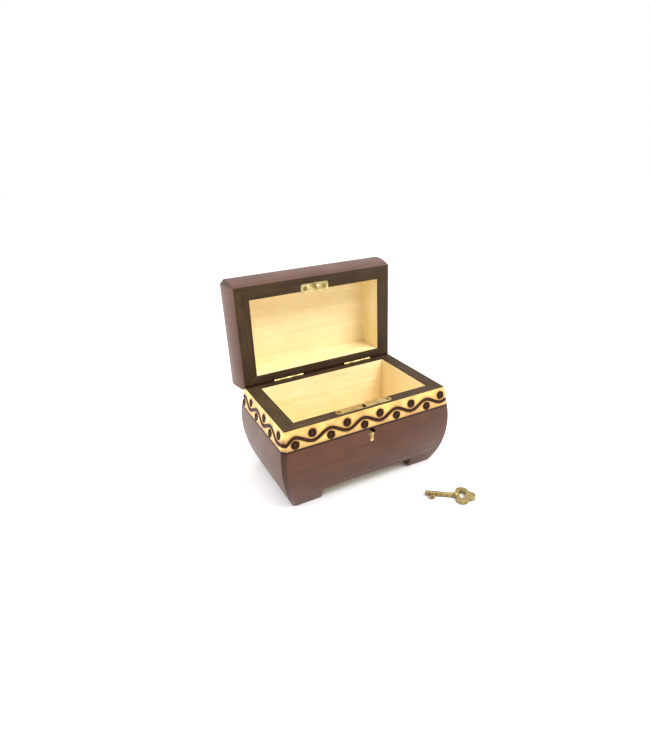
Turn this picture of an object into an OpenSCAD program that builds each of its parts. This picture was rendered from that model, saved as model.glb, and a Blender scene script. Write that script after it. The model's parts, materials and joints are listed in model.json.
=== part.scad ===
// Hinged wooden casket with bowed walls, a box lock, a lid link plate, two barrel hinges
// and a loose key. Shown with the lid resting open on its stop and the key on the floor.
// Units are millimetres. +Z is up, the lock faces -Y, and the floor is z = 0.

/* [Case] */
// Width of the case across its rim
rim_w = 130; // [120:1:140]
// Depth of the case across its rim
rim_d = 76.8; // [74:0.2:84]
// Height of the rim above the floor
case_h = 65; // [64:0.5:72]
// Thickness of the left and right boards at the rim
side_t = 10.7; // [9:0.1:12]
// Thickness of the front and back boards at the rim
front_t = 8.8; // [8.6:0.1:10]
// Thickness of the base panel
base_t = 5; // [4:0.5:7]
// How far the open case stands behind the middle of the set
case_y = 11.5; // [0:0.1:20]

/* [Wall bow] */
// Radius of the bowed walls
bow_r = 86; // [80:1:110]
// How far the walls bow out past the rim
bow_out = 4.2; // [3:0.1:5]
// Height of the widest place
bow_z = 39; // [36:0.5:42]
// Height of the carved band's lower edge
band_z = 51; // [50:0.5:53]
// Width of the line scored along the band's lower edge
score_h = 0.7; // [0.4:0.1:0.8]
// Depth of that line
score_d = 0.3; // [0.2:0.05:0.4]
// Radius of the flat planed along each corner
corner_r = 60.8; // [55:0.1:70]
// How far that flat stands out past the rim corner
corner_out = 4.26; // [3.6:0.01:4.6]
// Height of the flat's widest place
corner_z = 37.15; // [35:0.05:39]

/* [Feet] */
// Height of the foot rails
foot_h = 10; // [6:0.5:12]
// Clear width between the foot rails
foot_gap = 75.5; // [60:0.5:84]
// Rounding of the rails' lower inner edges
foot_round = 1.5; // [0.5:0.1:3]

/* [Lid] */
// Height of the lid above its rim
lid_h = 29; // [28:0.5:30]
// How far the lid's front rim stands past the case's rim
lid_over = 1.4; // [0:0.1:1.6]
// Thickness of the lid's top board
lid_top_t = 5.4; // [4:0.1:6]
// How far the lid bows out past the rim
lid_out = 3.8; // [3:0.1:4.5]
// Height of the lid's widest place above its rim
lid_mid = 17.4; // [17:0.1:19]
// Radius of the lid walls above the widest place
shoulder_r = 16; // [15:0.5:24]
// How far the lid's corner flats stand out past the rim corner
lid_corner_out = 3.2; // [2.4:0.1:3.6]
// Radius of the corner flats above the widest place
lid_corner_r = 14; // [14:0.5:20]
// Angle at which the lid rests on its stop
open_angle = 91.6; // [88:0.1:96]
// Gap between the two rims when the lid is shut
rim_gap = 0.3; // [0.2:0.05:0.6]

/* [Hinges] */
// Distance of the hinge pins inside the back edge of the rim
pin_inset = 1.5; // [1.4:0.1:2.2]
// Length of each hinge
hinge_len = 25; // [20:1:30]
// Middle of the left hinge
left_hinge_x = -28.6; // [-36:0.1:-20]
// Middle of the right hinge
right_hinge_x = 33.7; // [20:0.1:38]
// Outer radius of the hinge barrels
barrel_r = 1.3; // [1.2:0.05:1.5]
// Radius of the hinge pins
hinge_pin_r = 0.6; // [0.5:0.05:0.7]
// Thickness of the hinge leaves
leaf_t = 0.5; // [0.3:0.05:0.5]
// Reach of the leaves into the boards, from the pin
leaf_reach = 6; // [4:0.1:6.4]
// Number of barrel segments on each hinge
knuckles = 5; // [3:2:7]

/* [Lock] */
// Middle of the lock along the front
lock_x = -1.5; // [-10:0.1:10]
// Length of the lock's top plate
selvedge_len = 45; // [42:1:52]
// Width of the lock's top plate
selvedge_w = 6; // [5.6:0.1:6.2]
// Thickness of the lock's brass plates
lock_t = 1; // [0.8:0.1:1]
// Width of the lock's back plate
back_plate_w = 38; // [36:1:40]
// Height of the lock's back plate, from the rim down
back_plate_h = 25; // [24:0.5:27]
// Width of the pressed cap that covers the works
cap_w = 34; // [33:0.5:35]
// Height of that cap
cap_h = 22; // [21.5:0.5:23]
// Wall thickness of that cap
cap_t = 0.6; // [0.4:0.05:0.7]
// Offset of the keyhole from the middle of the lock
keyhole_dx = 0.7; // [-1:0.1:1]
// Radius of the keyhole's round top
keyhole_r = 2.8; // [2.4:0.1:2.9]
// Width of the keyhole's slot
keyhole_slot_w = 2.6; // [2.4:0.1:3]
// Reach of the keyhole's slot below the centre of its round top
keyhole_reach = 7.2; // [6.4:0.1:7.6]
// How much smaller the cap's keyhole is than the board's
cap_hole_less = 0.6; // [0.4:0.05:0.6]
// Radius of the drill pin that the key turns on
drill_pin_r = 0.8; // [0.6:0.05:0.85]
// Travel of the bolt
bolt_travel = 5; // [4:0.1:5]
// Thickness of the bolt
bolt_t = 1.4; // [1:0.1:1.5]
// Radius of the screw heads
head_r = 1.9; // [1.5:0.1:2.1]
// Radius of the screw shanks
screw_r = 0.9; // [0.7:0.05:1]
// Length of the screws
screw_len = 8; // [6:0.5:10]
// Distance of each lock screw from the middle of the lock
lock_screw_x = 19.9; // [19.8:0.1:20.2]

/* [Link plate] */
// Length of the plate on the lid
link_len = 23; // [22:0.5:26]
// Width of the plate on the lid
link_w = 6.9; // [6:0.1:7]
// Thickness of the plate on the lid
link_t = 0.9; // [0.7:0.05:1]
// Distance of each link screw from the middle of the plate
link_screw_x = 8; // [7:0.1:9]
// Width of the staple across the lid
staple_w = 2; // [1.6:0.1:2.2]
// Width of the staple from front to back
staple_d = 3.6; // [3.2:0.1:3.8]
// How far the staple stands out of the plate
staple_h = 6; // [5.6:0.1:6.2]
// Radius of the eye that the bolt enters
eye_r = 1.2; // [1.1:0.05:1.3]

/* [Key] */
// Whole length of the key
key_len = 35.2; // [33:0.1:37]
// Radius of the key's shank
shank_r = 1.65; // [1.5:0.05:1.8]
// Radius of the hole in the shank's tip
key_bore_r = 0.95; // [0.9:0.05:1]
// Depth of that hole
key_bore_depth = 9; // [6:0.5:12]
// Thickness of the bow
bow_t = 2.6; // [2:0.1:2.8]
// Radius of the bow's two side lobes
lobe_r = 4.6; // [4.2:0.1:4.8]
// Distance of the side lobes from the key's axis
lobe_y = 3.6; // [3.4:0.1:4]
// Radius of the bow's end lobe
end_lobe_r = 3.8; // [3.4:0.1:4]
// Where the key's tip lies, from the middle of the case
key_x = 28.2; // [24:0.1:32]
// Where the key's tip lies, in front of the middle of the case
key_y = -68; // [-72:0.1:-64]
// Direction the key lies in
key_angle = -37.1; // [-45:0.1:-30]

/* [Hidden] */
$fn = 96;

stain = [0.42, 0.26, 0.21];
natural = [0.93, 0.8, 0.56];
brass = [0.72, 0.62, 0.38];
steel = [0.6, 0.6, 0.62];

reach = 300;                                       // longer than anything it cuts
eps = 0.01;
spare = 12;                                        // how far cutting shapes run past a wall
hx = rim_w / 2;
hy = rim_d / 2;
arris = 0.2;                                       // how much the rim's sharp corners are eased
corner_d = (hx + hy) / sqrt(2) - arris;            // centre to the rim corner's 45 degree line
inner_x = hx - side_t;
inner_y = hy - front_t;
band_out = bow_out - bow_r + sqrt(pow(bow_r, 2) - pow(band_z - bow_z, 2));
band_corner_out = corner_out - corner_r + sqrt(pow(corner_r, 2) - pow(band_z - corner_z, 2));
neck_h = 0.9;                                      // reach of the scored line's floor into both sides
lid_z = case_h + rim_gap;
lid_mid_z = lid_z + lid_mid;
bow_core = 0.95;                                   // share of a bow's circle that its wall may use
lid_low_r = (pow(lid_mid, 2) + pow(lid_out, 2)) / (2 * lid_out);
lid_corner_low_r = (pow(lid_mid, 2) + pow(lid_corner_out, 2)) / (2 * lid_corner_out);
frame_h = lid_h - lid_top_t;

pin_y = hy - pin_inset;
pin_z = case_h + rim_gap / 2;
leaf_set = 0.1;                                    // how far a leaf sits inside its barrel's edge
case_leaf_z = pin_z - barrel_r + leaf_set;
lid_leaf_z = pin_z + barrel_r - leaf_set - leaf_t;
barrel_gap = 0.3;                                  // clear space round each barrel
running = 0.05;                                    // radial clearance on a turning pin
knuckle_gap = 0.2;
knuckle_len = hinge_len / knuckles;

selvedge_y = -inner_y - selvedge_w;
cap_d = selvedge_w - lock_t;
cap_z = case_h - lock_t - cap_h;
plate_y = -inner_y - lock_t;                       // front face of the lock's back plate
lock_y = selvedge_y + (cap_d + cap_t) / 2;            // middle of the works, front to back
keyhole_x = lock_x + keyhole_dx;
keyhole_z = band_z - keyhole_r;
drill_pin_past = 1.4;                              // reach past the lock, into the keyhole
drill_pin_len = cap_d + drill_pin_past;
bolt_z = 52.6;                                     // lower edge of the bolt's tail
tail_h = 5;
head_h = 0.8;
slot_w = 0.5;
slot_depth = 0.4;
slot_turn = 35;                                    // the screw slots don't line up
spring_rise = 3;
spring_len = 11;
spring_tip = 1.6;
spring_t = 0.4;
spring_gap = 0.15;
mouth_clear = 0.3;                                 // space round the staple in the lock's mouth
swing_clear = 0.5;                                 // more in front, where the staple swings in
mouth_x = staple_w / 2 + mouth_clear;
mouth_front = staple_d / 2 + swing_clear;
mouth_back = staple_d / 2 + mouth_clear;
eye_up = 2.4;                                      // staple's end to the middle of its eye
eye_z = lid_z - staple_h + eye_up;
finger_h = 1.4;
finger_back = 1.6;                                 // withdrawn bolt's tip to the staple
finger_tip = staple_w / 2 + finger_back;
upright_clear = 0.6;                               // shot bolt's upright to its tip's clear length
finger_len = bolt_travel - upright_clear;
upright_w = 4;
bolt_end = finger_tip + finger_len + upright_w;
tail_tip = 10;                                     // tail's other end, across the keyhole
talon_w = 4.4;
talon_h = 2;

link_over = 1.5;                                   // overhang of the link plate into the lid
link_y = -inner_y + link_over - link_w;            // front edge of the link plate
link_round = 1.2;

lobe_gap = 5.4;                                    // end lobe's middle to the side lobes' middles
bow_x = key_len - end_lobe_r - lobe_gap;
bow_hole_r = 1.9;
bow_hole_y = 2.5;
bit_x = 2.9;
bit_len = 4.2;
bit_reach = 5.3;
bit_t = 1.8;
ward_w = 1.1;
ward_h = 1.5;
collar_r = 1.9;
collar_len = 1.4;

// ---------------------------------------------------------------- poses

module case_pose() {
    translate([0, case_y, 0])
        children();
}

module lid_pose() {
    case_pose()
        translate([0, pin_y, pin_z])
            rotate([-open_angle, 0, 0])
                translate([0, -pin_y, -pin_z])
                    children();
}

module key_pose() {
    case_pose()
        translate([key_x, key_y, collar_r])
            rotate([0, 0, key_angle])
                children();
}

// ---------------------------------------------------------------- outer shapes

// Everything on the inner side of one bowed wall, whose widest place is at y = half.
module bow_side(half, r, z_mid) {
    translate([0, half - r, z_mid])
        rotate([0, 90, 0])
            cylinder(h = reach, r = r, center = true);
    translate([-reach / 2, half - r - reach, z_mid - bow_core * r])
        cube([reach, reach, 2 * bow_core * r]);
}

// Space between two facing bowed walls.
module bowed(half, r, z_mid) {
    intersection() {
        bow_side(half, r, z_mid);
        mirror([0, 1, 0])
            bow_side(half, r, z_mid);
    }
}

// Space between two facing flat walls that lean out by lean on the way down from z1 to z0.
module leaning(half, lean, z0, z1) {
    rotate([90, 0, 90])
        linear_extrude(height = reach, center = true)
            polygon([[-half - lean, z0], [half + lean, z0], [half, z1], [-half, z1]]);
}

module layer(z0, z1) {
    translate([-reach / 2, -reach / 2, z0])
        cube([reach, reach, z1 - z0]);
}

module turned(angle) {
    rotate([0, 0, angle])
        children();
}

// Outer form between z0 and z1 of four bowed walls and the flats along their corners. Its front
// wall stands past the case's rim by over.
module bowed_form(over, out, r, z_mid, flat_out, flat_r, flat_z, z0, z1) {
    flat_d = corner_d + over / sqrt(8) + flat_out;
    translate([0, -over / 2, 0])
        intersection() {
            bowed(hy + over / 2 + out, r, z_mid);
            rotate([0, 0, 90])
                bowed(hx + out, r, z_mid);
            turned(45)
                bowed(flat_d, flat_r, flat_z);
            turned(-45)
                bowed(flat_d, flat_r, flat_z);
            layer(z0, z1);
        }
}

module case_layer(z0, z1) {
    bowed_form(0, bow_out, bow_r, bow_z, corner_out, corner_r, corner_z, z0, z1);
}

// Ring between z0 and z1 whose four walls and corner flats lean out by the band's lean times share,
// and stand back from the band's lower edge by inset.
module band_ring(share, inset, z0, z1) {
    lean = band_out * share;
    corner_lean = band_corner_out * share;
    intersection() {
        leaning(hy + band_out - lean - inset, lean, z0, z1);
        rotate([0, 0, 90])
            leaning(hx + band_out - lean - inset, lean, z0, z1);
        turned(45)
            leaning(corner_d + band_corner_out - corner_lean - inset, corner_lean, z0, z1);
        turned(-45)
            leaning(corner_d + band_corner_out - corner_lean - inset, corner_lean, z0, z1);
    }
}

// Outer form of the case boards, from the top of the feet to the rim, with the line scored round it.
module case_form() {
    case_layer(foot_h, band_z - score_h / 2);
    band_ring(0, score_d, band_z - neck_h, band_z + neck_h);
    band_ring(1, 0, band_z + score_h / 2, case_h);
}

module lid_shoulder(z0, z1) {
    bowed_form(lid_over, lid_out, shoulder_r, lid_mid_z, lid_corner_out, lid_corner_r, lid_mid_z,
               z0, z1);
}

// Outer form of the lid boards, from the lid's rim to its top board.
module lid_form() {
    bowed_form(lid_over, lid_out, lid_low_r, lid_mid_z, lid_corner_out, lid_corner_low_r,
               lid_mid_z, lid_z, lid_mid_z);
    lid_shoulder(lid_mid_z, lid_z + frame_h);
}

// ---------------------------------------------------------------- board ends

// Ground that a front board stands on, cut off along the mitres. The board stands past the case's
// rim by over.
module front_sector(over, z0, z1) {
    front = -hy - over - spare;
    mitre_x = hx - front_t - over;
    translate([0, 0, z0])
        linear_extrude(height = z1 - z0)
            polygon([[-hx - spare, front], [hx + spare, front], [mitre_x, -inner_y],
                     [-mitre_x, -inner_y]]);
}

// Ground that a right board stands on. Past the mitres it butts against the front and back boards.
module right_sector(over, z0, z1) {
    translate([0, 0, z0])
        linear_extrude(height = z1 - z0)
            polygon([[hx + spare, -hy - over - spare], [hx + spare, hy + spare], [hx - front_t, inner_y],
                     [inner_x, inner_y], [inner_x, -inner_y], [hx - front_t - over, -inner_y]]);
}

module back_sector(z0, z1) {
    mirror([0, 1, 0])
        front_sector(0, z0, z1);
}

module left_sector(over, z0, z1) {
    mirror([1, 0, 0])
        right_sector(over, z0, z1);
}

// ---------------------------------------------------------------- shapes of the fittings

// Slope cut along the back edge of the case. The lid's own slope meets it when the lid is open.
module case_relief() {
    translate([-reach / 2, pin_y, case_h])
        rotate([-open_angle / 2, 0, 0])
            cube([reach, spare, spare]);
}

module lid_relief() {
    translate([-reach / 2, pin_y, lid_z])
        rotate([open_angle / 2, 0, 0])
            translate([0, 0, -spare])
                cube([reach, spare, spare]);
}

module barrel_space(x, length) {
    translate([x, pin_y, pin_z])
        rotate([0, 90, 0])
            cylinder(h = length, r = barrel_r + barrel_gap, center = true);
}

// Plate of a hinge leaf, from the pin into the board.
module leaf_plate(x, z) {
    translate([x - hinge_len / 2, pin_y - leaf_reach, z])
        cube([hinge_len, leaf_reach, leaf_t]);
}

// Saw kerfs and barrel spaces for both hinges.
module hinge_cuts(z) {
    for (x = [left_hinge_x, right_hinge_x]) {
        barrel_space(x, hinge_len + 2 * barrel_gap);
        leaf_plate(x, z);
    }
}

// Top plate of the lock, with round ends.
module selvedge_form(t) {
    translate([lock_x, selvedge_y + selvedge_w / 2, case_h - lock_t])
        linear_extrude(height = t) {
            for (side = [-1, 1]) {
                translate([side * (selvedge_len - selvedge_w) / 2, 0])
                    circle(r = selvedge_w / 2);
            }
            square([selvedge_len - selvedge_w, selvedge_w], center = true);
        }
}

module back_plate_form() {
    translate([lock_x - back_plate_w / 2, plate_y, case_h - back_plate_h])
        cube([back_plate_w, lock_t, back_plate_h]);
}

module cap_form(wall) {
    translate([lock_x - cap_w / 2 + wall, selvedge_y + wall, cap_z + wall])
        cube([cap_w - 2 * wall, cap_d - wall, cap_h - 2 * wall]);
}

// Keyhole that runs forward from y = 0, smaller all round by less.
module keyhole_form(depth, less) {
    slot_r = (keyhole_slot_w - less) / 2;
    slot_end = -keyhole_reach + 2 * less + slot_r;
    translate([keyhole_x, 0, keyhole_z])
        rotate([90, 0, 0])
            linear_extrude(height = depth) {
                circle(r = keyhole_r - less);
                translate([-slot_r, slot_end])
                    square([2 * slot_r, -slot_end]);
                translate([0, slot_end])
                    circle(r = slot_r);
            }
}

// Countersunk screw along -Z, with its head's top at z = 0.
module screw_form() {
    translate([0, 0, -head_h])
        cylinder(h = head_h, r1 = screw_r, r2 = head_r);
    translate([0, 0, -screw_len])
        cylinder(h = screw_len - head_h, r = screw_r);
}

module screw() {
    difference() {
        screw_form();
        translate([-head_r, -slot_w / 2, -slot_depth])
            cube([2 * head_r, slot_w, head_h]);
    }
}

module at_lock_screws() {
    for (side = [-1, 1]) {
        translate([lock_x + side * lock_screw_x, selvedge_y + selvedge_w / 2, case_h])
            rotate([0, 0, side * slot_turn])
                children();
    }
}

module at_link_screws() {
    for (side = [-1, 1]) {
        translate([lock_x + side * link_screw_x, link_y + link_w / 2, lid_z])
            rotate([180, 0, side * slot_turn])
                children();
    }
}

// Plate with rounded corners on the lid's rim.
module link_form(extra) {
    translate([lock_x, link_y + link_w / 2, lid_z - extra])
        linear_extrude(height = link_t + extra) {
            square([link_len - 2 * link_round, link_w], center = true);
            square([link_len, link_w - 2 * link_round], center = true);
            for (x = [-1, 1], y = [-1, 1]) {
                translate([x * (link_len / 2 - link_round), y * (link_w / 2 - link_round)])
                    circle(r = link_round);
            }
        }
}

// ---------------------------------------------------------------- case

module front_board() {
    color(stain)
        case_pose()
            difference() {
                intersection() {
                    case_form();
                    front_sector(0, foot_h, case_h);
                }
                selvedge_form(spare);
                back_plate_form();
                cap_form(0);
                translate([0, selvedge_y + eps, 0])
                    keyhole_form(reach, 0);
                at_lock_screws()
                    screw_form();
            }
}

module back_board() {
    color(stain)
        case_pose()
            difference() {
                intersection() {
                    case_form();
                    back_sector(foot_h, case_h);
                }
                case_relief();
                hinge_cuts(case_leaf_z);
            }
}

module right_board() {
    color(stain)
        case_pose()
            difference() {
                intersection() {
                    case_form();
                    right_sector(0, foot_h, case_h);
                }
                case_relief();
            }
}

module left_board() {
    color(stain)
        case_pose()
            difference() {
                intersection() {
                    case_form();
                    left_sector(0, foot_h, case_h);
                }
                case_relief();
            }
}

module base_panel() {
    color(natural)
        case_pose()
            translate([-inner_x, -inner_y, foot_h])
                cube([2 * inner_x, 2 * inner_y, base_t]);
}

// Rail under the right board, with its lower inner edge rounded.
module foot_rail() {
    intersection() {
        case_layer(0, foot_h);
        rotate([90, 0, 0])
            linear_extrude(height = reach, center = true) {
                translate([foot_gap / 2 + foot_round, 0])
                    square([hx, foot_h]);
                translate([foot_gap / 2, foot_round])
                    square([hx, foot_h - foot_round]);
                translate([foot_gap / 2 + foot_round, foot_round])
                    circle(r = foot_round);
            }
    }
}

module right_foot_rail() {
    color(stain)
        case_pose()
            foot_rail();
}

module left_foot_rail() {
    color(stain)
        case_pose()
            mirror([1, 0, 0])
                foot_rail();
}

// ---------------------------------------------------------------- lid

module lid_front_board() {
    color(stain)
        lid_pose()
            difference() {
                intersection() {
                    lid_form();
                    front_sector(lid_over, lid_z, lid_z + frame_h);
                }
                link_form(eps);
                at_link_screws()
                    screw_form();
            }
}

module lid_back_board() {
    color(stain)
        lid_pose()
            difference() {
                intersection() {
                    lid_form();
                    back_sector(lid_z, lid_z + frame_h);
                }
                lid_relief();
                hinge_cuts(lid_leaf_z);
            }
}

module lid_right_board() {
    color(stain)
        lid_pose()
            difference() {
                intersection() {
                    lid_form();
                    right_sector(lid_over, lid_z, lid_z + frame_h);
                }
                lid_relief();
            }
}

module lid_left_board() {
    color(stain)
        lid_pose()
            difference() {
                intersection() {
                    lid_form();
                    left_sector(lid_over, lid_z, lid_z + frame_h);
                }
                lid_relief();
            }
}

module lid_top_board() {
    color(stain)
        lid_pose()
            lid_shoulder(lid_z + frame_h, lid_z + lid_h);
}

// ---------------------------------------------------------------- hinges

// Leaf at height z with every second barrel segment, counted from the given one.
module hinge_leaf(x, first, z, hole_r) {
    difference() {
        leaf_plate(x, z);
        for (i = [1 - first : 2 : knuckles - 1]) {
            barrel_space(x + (i + 0.5) * knuckle_len - hinge_len / 2, knuckle_len);
        }
    }
    difference() {
        for (i = [first : 2 : knuckles - 1]) {
            translate([x + (i + 0.5) * knuckle_len - hinge_len / 2, pin_y, pin_z])
                rotate([0, 90, 0])
                    cylinder(h = knuckle_len - knuckle_gap, r = barrel_r, center = true);
        }
        translate([x, pin_y, pin_z])
            rotate([0, 90, 0])
                cylinder(h = reach, r = hole_r, center = true);
    }
}

module hinge_pin(x) {
    translate([x, pin_y, pin_z])
        rotate([0, 90, 0])
            cylinder(h = hinge_len, r = hinge_pin_r, center = true);
}

module left_hinge_case_leaf() {
    color(brass)
        case_pose()
            hinge_leaf(left_hinge_x, 0, case_leaf_z, hinge_pin_r);
}

module right_hinge_case_leaf() {
    color(brass)
        case_pose()
            hinge_leaf(right_hinge_x, 0, case_leaf_z, hinge_pin_r);
}

module left_hinge_lid_leaf() {
    color(brass)
        lid_pose()
            hinge_leaf(left_hinge_x, 1, lid_leaf_z, hinge_pin_r + running);
}

module right_hinge_lid_leaf() {
    color(brass)
        lid_pose()
            hinge_leaf(right_hinge_x, 1, lid_leaf_z, hinge_pin_r + running);
}

module left_hinge_pin() {
    color(steel)
        case_pose()
            hinge_pin(left_hinge_x);
}

module right_hinge_pin() {
    color(steel)
        case_pose()
            hinge_pin(right_hinge_x);
}

// ---------------------------------------------------------------- lock

// Top plate and back plate of the lock, bent from one sheet.
module lock_plate() {
    color(brass)
        case_pose()
            difference() {
                union() {
                    selvedge_form(lock_t);
                    back_plate_form();
                }
                translate([lock_x - mouth_x, lock_y - mouth_front, case_h - spare])
                    cube([2 * mouth_x, mouth_front + mouth_back, 2 * spare]);
                at_lock_screws()
                    screw_form();
            }
}

// Pressed cap over the works, open towards the back plate and under the top plate.
module lock_cap() {
    color(brass)
        case_pose()
            difference() {
                cap_form(0);
                cap_form(cap_t);
                translate([lock_x - cap_w / 2 + cap_t, selvedge_y + cap_t, cap_z + cap_h - 2 * cap_t])
                    cube([cap_w - 2 * cap_t, cap_d, spare]);
                translate([0, selvedge_y + 2 * cap_t, 0])
                    keyhole_form(spare, cap_hole_less);
            }
}

// Outline of the bolt: a tail with a notch for the key, an upright, and the finger that shoots.
module bolt_outline() {
    difference() {
        translate([-tail_tip, bolt_z])
            square([tail_tip + bolt_end, tail_h]);
        translate([keyhole_dx + (bolt_travel - talon_w) / 2, bolt_z - eps])
            square([talon_w, talon_h]);
    }
    translate([bolt_end - upright_w, bolt_z])
        square([upright_w, eye_z + finger_h / 2 - bolt_z]);
    translate([finger_tip, eye_z - finger_h / 2])
        square([finger_len + eps, finger_h]);
}

module lock_bolt() {
    color(brass)
        case_pose()
            translate([lock_x, lock_y + bolt_t / 2, 0])
                rotate([90, 0, 0])
                    linear_extrude(height = bolt_t)
                        bolt_outline();
}

// Flat spring that presses on the bolt's tail and holds it where the key leaves it.
module lock_spring() {
    color(steel)
        case_pose()
            translate([lock_x - cap_w / 2 + cap_t, lock_y + bolt_t / 2, bolt_z + tail_h])
                rotate([90, 0, 0])
                    linear_extrude(height = bolt_t)
                        polygon([[0, spring_rise], [spring_len, spring_gap],
                                 [spring_len + spring_tip, 4 * spring_gap],
                                 [spring_len, spring_gap + spring_t], [0, spring_rise + spring_t]]);
}

// Pin that the hollow key turns on.
module lock_drill_pin() {
    color(steel)
        case_pose()
            translate([keyhole_x, plate_y, keyhole_z])
                rotate([90, 0, 0])
                    cylinder(h = drill_pin_len, r = drill_pin_r);
}

module lock_screws() {
    color(brass)
        case_pose()
            at_lock_screws()
                screw();
}

// ---------------------------------------------------------------- link plate

module link_plate() {
    color(brass)
        lid_pose()
            difference() {
                link_form(0);
                at_link_screws()
                    screw_form();
            }
}

// Standing loop under the link plate, with the eye that the bolt enters.
module link_staple() {
    color(brass)
        lid_pose()
            translate([lock_x - staple_w / 2, lock_y, lid_z])
                rotate([90, 0, 90])
                    linear_extrude(height = staple_w)
                        difference() {
                            union() {
                                translate([-staple_d / 2, -staple_h + staple_d / 2])
                                    square([staple_d, staple_h - staple_d / 2]);
                                translate([0, -staple_h + staple_d / 2])
                                    circle(r = staple_d / 2);
                            }
                            translate([0, eye_z - lid_z])
                                circle(r = eye_r);
                        }
}

module link_screws() {
    color(brass)
        lid_pose()
            at_link_screws()
                screw();
}

// ---------------------------------------------------------------- key

module bow_outline() {
    difference() {
        union() {
            for (side = [-1, 1]) {
                translate([bow_x, side * lobe_y])
                    circle(r = lobe_r);
            }
            translate([key_len - end_lobe_r, 0])
                circle(r = end_lobe_r);
        }
        for (side = [-1, 1]) {
            translate([bow_x, side * bow_hole_y])
                circle(r = bow_hole_r);
        }
        translate([bow_x, 0])
            square([2 * bow_hole_r, 2 * bow_hole_y], center = true);
    }
}

// Key along +X, with its bit towards -Y and the middle of its shank at z = 0.
module key() {
    color(brass)
        key_pose()
            difference() {
                union() {
                    rotate([0, 90, 0])
                        cylinder(h = bow_x - lobe_r + collar_len, r = shank_r);
                    translate([bow_x - lobe_r - collar_len, 0, 0])
                        rotate([0, 90, 0])
                            cylinder(h = 2 * collar_len, r = collar_r);
                    translate([0, 0, -bow_t / 2])
                        linear_extrude(height = bow_t)
                            bow_outline();
                    translate([bit_x, -bit_reach, -bit_t / 2])
                        cube([bit_len, bit_reach, bit_t]);
                }
                translate([-eps, 0, 0])
                    rotate([0, 90, 0])
                        cylinder(h = key_bore_depth, r = key_bore_r);
                translate([bit_x + (bit_len - ward_w) / 2, -bit_reach - eps, -bit_t])
                    cube([ward_w, ward_h, 2 * bit_t]);
            }
}

front_board();
back_board();
left_board();
right_board();
base_panel();
left_foot_rail();
right_foot_rail();
lid_front_board();
lid_back_board();
lid_left_board();
lid_right_board();
lid_top_board();
left_hinge_case_leaf();
left_hinge_lid_leaf();
left_hinge_pin();
right_hinge_case_leaf();
right_hinge_lid_leaf();
right_hinge_pin();
lock_plate();
lock_cap();
lock_bolt();
lock_spring();
lock_drill_pin();
lock_screws();
link_plate();
link_staple();
link_screws();
key();
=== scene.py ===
"""Hinged wooden casket with a carved vine band: its finishes and fine shapes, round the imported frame."""
import json
import math

import bmesh
import bpy
from bpy.props import FloatProperty, FloatVectorProperty, PointerProperty
from bpy.types import Operator, Panel, PropertyGroup
from mathutils import Matrix, Vector


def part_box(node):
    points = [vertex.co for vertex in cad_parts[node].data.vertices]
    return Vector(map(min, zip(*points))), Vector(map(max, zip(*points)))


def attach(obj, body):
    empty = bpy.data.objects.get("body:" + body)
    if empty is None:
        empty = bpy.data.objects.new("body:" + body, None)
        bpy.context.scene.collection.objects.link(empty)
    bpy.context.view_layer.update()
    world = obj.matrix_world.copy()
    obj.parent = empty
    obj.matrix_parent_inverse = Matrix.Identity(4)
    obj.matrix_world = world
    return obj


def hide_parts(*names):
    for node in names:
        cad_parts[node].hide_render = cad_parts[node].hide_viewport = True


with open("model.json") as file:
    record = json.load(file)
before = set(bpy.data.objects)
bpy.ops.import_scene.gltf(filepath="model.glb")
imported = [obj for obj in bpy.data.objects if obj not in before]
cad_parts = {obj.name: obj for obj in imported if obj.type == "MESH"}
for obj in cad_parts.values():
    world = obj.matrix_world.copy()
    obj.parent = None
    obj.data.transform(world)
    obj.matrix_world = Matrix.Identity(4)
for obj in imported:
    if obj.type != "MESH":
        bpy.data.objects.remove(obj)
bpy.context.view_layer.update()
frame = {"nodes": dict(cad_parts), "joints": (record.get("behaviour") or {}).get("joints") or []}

bl_info = {
    "name": "Vine band casket",
    "version": (1, 0, 0),
    "blender": (4, 5, 0),
    "location": "3D View > Sidebar > Casket",
    "description": "Builds a stained wooden casket with a burnt vine band, brass fittings and a loose key",
    "category": "Object",
}

MM = 0.001

# Where things are, from the frame.
RIM_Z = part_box("front_board")[1].z
INNER_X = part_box("base_panel")[1].x
CASE_Y = (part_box("base_panel")[0].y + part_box("base_panel")[1].y) / 2
INNER_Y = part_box("base_panel")[1].y - CASE_Y
PIN = (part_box("left_hinge_pin")[0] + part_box("left_hinge_pin")[1]) / 2
OPEN = math.radians(frame["joints"][0]["range_deg"][1])
SIDE_RIM = 10.7 * MM                                    # width of the rim on the left and the right
LONG_RIM = 8.8 * MM                                     # width of the rim on the front and the back
HALF_W = INNER_X + SIDE_RIM
HALF_D = INNER_Y + LONG_RIM
LID_TOP_Z = 88.9 * MM                                   # underside of the lid's top board, lid shut
LID_RIM_Z = 65.3 * MM                                   # the lid's rim, lid shut

# From where a piece is built to the same piece centred on the case, and for the lid also shut.
TO_CASE = Matrix.Translation((0, -CASE_Y, 0))
SHUTTING = Matrix.Translation((0, PIN.y, PIN.z)) @ Matrix.Rotation(OPEN, 4, "X")
CLOSED = TO_CASE @ SHUTTING @ Matrix.Translation((0, -PIN.y, -PIN.z))

# The keyhole's round top, and a panel pin's hole in the lid's left rim.
KEYHOLE_X = -0.8 * MM
KEYHOLE_Z = 48.2 * MM
PIN_HOLE = (-60.6 * MM, -27.5 * MM)
PIN_HOLE_RADIUS = 0.45 * MM

# The band that leans out below the rim.
BAND_H = 14 * MM
BAND_LOW = RIM_Z - BAND_H
BAND_OUT = 3.36 * MM                                    # how far its lower edge stands out from the rim
BAND_TILT = math.atan2(BAND_OUT, BAND_H)
CORNER_D = 72.9 * MM                                    # centre to the corners' 45 degree flat, at the rim
CORNER_OUT = 2.66 * MM                                  # how far that flat's lower edge stands out

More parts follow.
